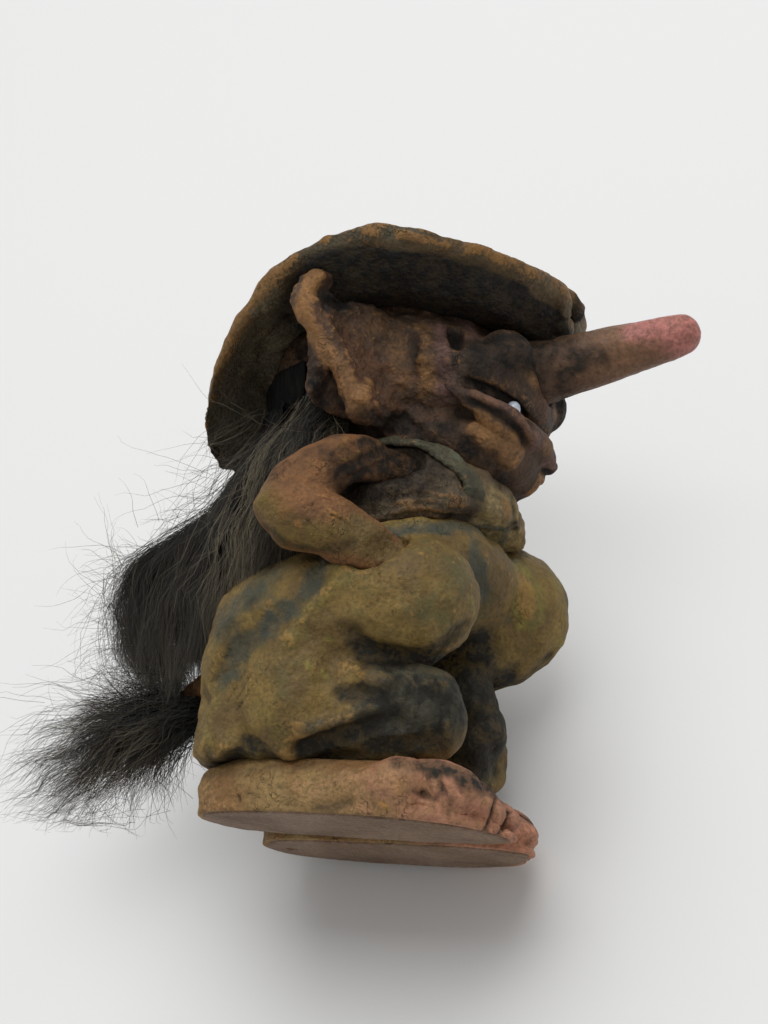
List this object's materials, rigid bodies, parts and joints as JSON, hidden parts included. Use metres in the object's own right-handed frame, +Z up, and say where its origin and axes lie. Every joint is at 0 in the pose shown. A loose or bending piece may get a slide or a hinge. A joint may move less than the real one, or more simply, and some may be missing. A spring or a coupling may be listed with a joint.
{
  "type": "troll figurine",
  "caption": "Squat folk troll ornament: drooping wide-brimmed hat, cupped ears, long nose, baggy braced trousers, fur hair and tufted tail, hands in pockets, resting on flat soles.",
  "frame": {"origin": "on the ground under the middle of the bounding box", "axes": "+Z up, -Y the way the nose points, +X to the figure's left"},
  "size_m": [0.083, 0.1432, 0.129],
  "materials": {
    "felt_paint": "matt, dark wash in the folds, ochre on the rim",
    "skin_paint": "matt orange-brown, dark wash, fine cracks",
    "nose_paint": "matt brown running to pink at the tip",
    "tooth_white": "glossy white",
    "eye_glass": "dark polished bead",
    "fur": "long straight dark pile",
    "hide": "matt",
    "shirt_paint": "matt brown",
    "strap_paint": "matt grey-green",
    "cloth_paint": "matt olive ochre, blue-grey in the folds",
    "foot_paint": "matt ochre running to pink at the toes",
    "bare_latex": "matt, unpainted"
  },
  "bodies": {
    "root": {"hat": "felt_paint", "head": "skin_paint", "nose": "nose_paint", "tooth": "tooth_white", "right_eye": "eye_glass", "left_eye": "eye_glass", "right_ear": "skin_paint", "left_ear": "skin_paint", "hair": "fur", "hair_strip": "hide", "torso": "shirt_paint", "right_brace": "strap_paint", "left_brace": "strap_paint", "right_arm": "skin_paint", "left_arm": "skin_paint", "trousers": "cloth_paint", "right_trouser_leg": "cloth_paint", "left_trouser_leg": "cloth_paint", "right_foot": "foot_paint", "left_foot": "foot_paint", "right_sole": "bare_latex", "left_sole": "bare_latex", "tail": "skin_paint", "tail_tuft": "fur"}
  },
  "joints": []
}
